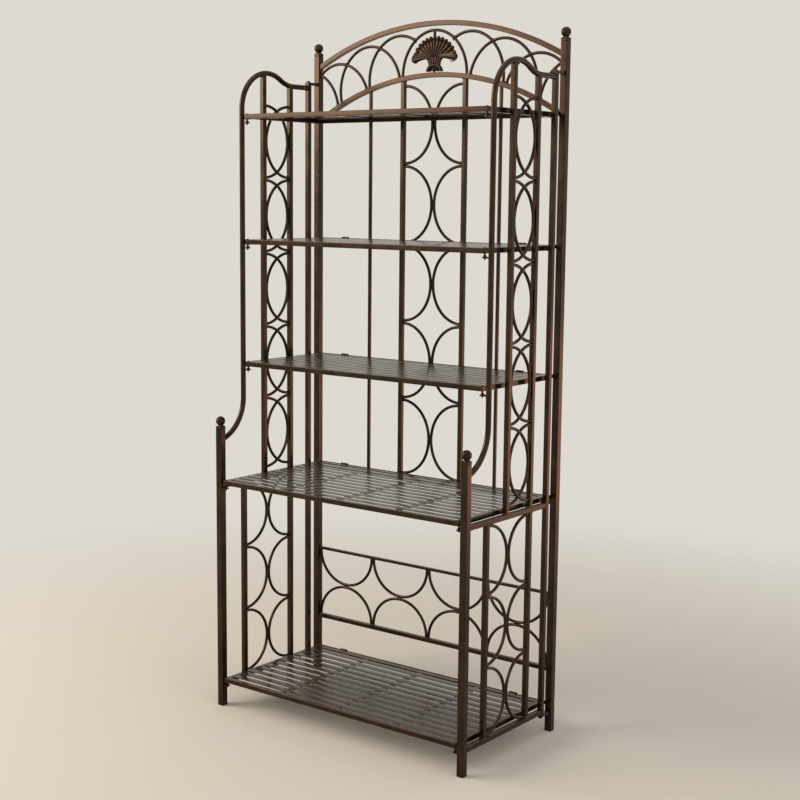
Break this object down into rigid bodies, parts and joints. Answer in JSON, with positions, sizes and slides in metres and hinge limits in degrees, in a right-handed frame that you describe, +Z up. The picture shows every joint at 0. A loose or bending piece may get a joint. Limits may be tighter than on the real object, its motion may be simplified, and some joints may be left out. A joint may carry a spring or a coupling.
{
  "type": "bakers rack",
  "caption": "Folding bakers rack of square steel tube with slatted shelves that lift, hinged side panels, scrollwork and an arched back with a cast fan.",
  "frame": {"origin": "on the floor, under the middle of the rack's bounding box", "axes": "+X to the rack's right as seen from the front, +Y towards its back, +Z up"},
  "size_m": [0.819, 0.42, 1.825],
  "materials": {
    "frame_bronze": "glossy dark bronze powder coat",
    "slat_bronze": "glossy dark bronze powder coat",
    "cast_bronze": "dark bronze powder coat over castings",
    "pin_steel": "dark bronze paint, worn smooth"
  },
  "bodies": {
    "back_panel": {"back_post_left": "frame_bronze", "back_post_right": "frame_bronze", "back_finial_left": "cast_bronze", "back_finial_right": "cast_bronze", "upper_hinge_pin_left": "pin_steel", "upper_hinge_pin_right": "pin_steel", "lower_hinge_pin_left": "pin_steel", "lower_hinge_pin_right": "pin_steel", "upper_arch": "frame_bronze", "lower_arch": "frame_bronze", "arch_loops": "frame_bronze", "fan_ornament": "cast_bronze", "back_mid_rail": "frame_bronze", "back_thick_bar_left": "frame_bronze", "back_thick_bar_right": "frame_bronze", "back_thin_bar_left": "frame_bronze", "back_thin_bar_right": "frame_bronze", "back_scrollwork": "frame_bronze", "lower_back_top_rail": "frame_bronze", "lower_back_bottom_rail": "frame_bronze", "lower_back_scrollwork": "frame_bronze", "shelf_1_hinge_rod": "pin_steel", "shelf_2_hinge_rod": "pin_steel", "shelf_3_hinge_rod": "pin_steel", "shelf_4_hinge_rod": "pin_steel", "shelf_5_hinge_rod": "pin_steel"},
    "left_side_panel": {"left_front_post": "frame_bronze", "left_front_finial": "cast_bronze", "left_rear_post": "frame_bronze", "left_bent_tube": "frame_bronze", "left_mid_rail": "frame_bronze", "left_bottom_rail": "frame_bronze", "left_inner_front_bar": "frame_bronze", "left_inner_rear_bar": "frame_bronze", "left_lower_front_bar": "frame_bronze", "left_lower_rear_bar": "frame_bronze", "left_upper_scrollwork": "frame_bronze", "left_lower_scrollwork": "frame_bronze"},
    "right_side_panel": {"right_front_post": "frame_bronze", "right_front_finial": "cast_bronze", "right_rear_post": "frame_bronze", "right_bent_tube": "frame_bronze", "right_mid_rail": "frame_bronze", "right_bottom_rail": "frame_bronze", "right_inner_front_bar": "frame_bronze", "right_inner_rear_bar": "frame_bronze", "right_lower_front_bar": "frame_bronze", "right_lower_rear_bar": "frame_bronze", "right_upper_scrollwork": "frame_bronze", "right_lower_scrollwork": "frame_bronze"},
    "shelf_1": {"shelf_1_frame": "frame_bronze", "shelf_1_slats": "slat_bronze"},
    "shelf_2": {"shelf_2_frame": "frame_bronze", "shelf_2_slats": "slat_bronze"},
    "shelf_3": {"shelf_3_frame": "frame_bronze", "shelf_3_slats": "slat_bronze"},
    "shelf_4": {"shelf_4_frame": "frame_bronze", "shelf_4_slats": "slat_bronze"},
    "shelf_5": {"shelf_5_frame": "frame_bronze", "shelf_5_slats": "slat_bronze"}
  },
  "joints": [
    {"name": "left_side_hinge", "type": "hinge", "parent": "back_panel", "child": "left_side_panel", "pos_m": [-0.397, 0.1536, 0.85], "axis": [0, 0, -1], "range_deg": [0, 90]},
    {"name": "right_side_hinge", "type": "hinge", "parent": "back_panel", "child": "right_side_panel", "pos_m": [0.397, 0.1536, 0.85], "axis": [0, 0, 1], "range_deg": [0, 90]},
    {"name": "shelf_1_hinge", "type": "hinge", "parent": "back_panel", "child": "shelf_1", "pos_m": [0, 0.1867, 1.578], "axis": [-1, 0, 0], "range_deg": [0, 80]},
    {"name": "shelf_2_hinge", "type": "hinge", "parent": "back_panel", "child": "shelf_2", "pos_m": [0, 0.1867, 1.25297], "axis": [-1, 0, 0], "range_deg": [0, 88]},
    {"name": "shelf_3_hinge", "type": "hinge", "parent": "back_panel", "child": "shelf_3", "pos_m": [0, 0.1867, 0.92899], "axis": [-1, 0, 0], "range_deg": [0, 88]},
    {"name": "shelf_4_hinge", "type": "hinge", "parent": "back_panel", "child": "shelf_4", "pos_m": [0, 0.1867, 0.61897], "axis": [-1, 0, 0], "range_deg": [0, 45]},
    {"name": "shelf_5_hinge", "type": "hinge", "parent": "back_panel", "child": "shelf_5", "pos_m": [0, 0.1867, 0.076], "axis": [-1, 0, 0], "range_deg": [0, 88]}
  ]
}
